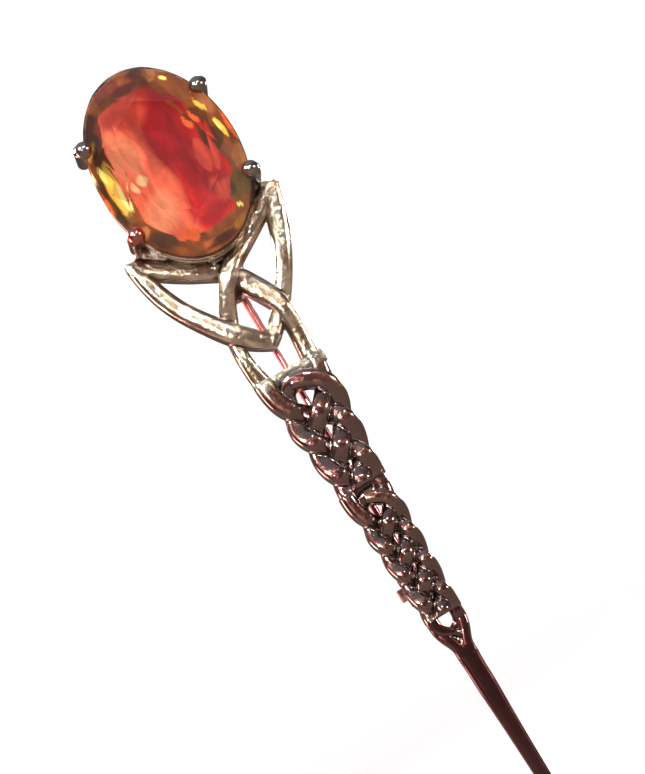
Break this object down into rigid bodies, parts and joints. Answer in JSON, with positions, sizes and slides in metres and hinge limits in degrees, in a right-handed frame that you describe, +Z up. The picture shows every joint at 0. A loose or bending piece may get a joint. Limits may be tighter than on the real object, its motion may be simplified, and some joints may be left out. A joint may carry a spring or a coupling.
{
  "type": "kilt pin brooch",
  "caption": "Upright brooch with an oval claw-set stone, cast knot, tapering plait and blade, and a hinged pin with a turning catch.",
  "frame": {"origin": "on the axis of the straight pin wire, 2.2 mm below its hinge, where the cloth is carried", "axes": "+Z up the brooch towards the stone, -Y out of its front face, +X to the right as seen from the front"},
  "size_m": [0.0156, 0.0101, 0.0816],
  "materials": {
    "stone": "faceted amber-brown stone with a red centre",
    "claw": "polished silver claws",
    "rail": "polished silver wire",
    "knot": "cast and polished silver, warm champagne tone",
    "plait": "cast silver toned dark plum, bright on the crests",
    "blade": "cast silver toned dark plum",
    "fitting": "plain silver fittings",
    "wire": "hard drawn wire, polished"
  },
  "bodies": {
    "brooch": {"gemstone": "stone", "claw_upper_left": "claw", "claw_upper_right": "claw", "claw_lower_left": "claw", "claw_lower_right": "claw", "gallery_rail_upper": "rail", "gallery_rail_lower": "rail", "trinity_knot": "knot", "upper_plait": "plait", "lower_plait": "plait", "blade": "blade", "pin_bracket": "fitting", "pin_rivet": "fitting", "catch_base": "fitting"},
    "pin": {"pin_stem": "wire"},
    "roller": {"catch_roller": "fitting"}
  },
  "joints": [
    {"name": "stem_hinge", "type": "hinge", "parent": "brooch", "child": "pin", "pos_m": [0, 0, 0.0022], "axis": [1, 0, 0], "range_deg": [0, 110]},
    {"name": "catch_turn", "type": "hinge", "parent": "brooch", "child": "roller", "pos_m": [0, 0, -0.0319], "axis": [0, 0, 1], "range_deg": [-90, 0]}
  ]
}
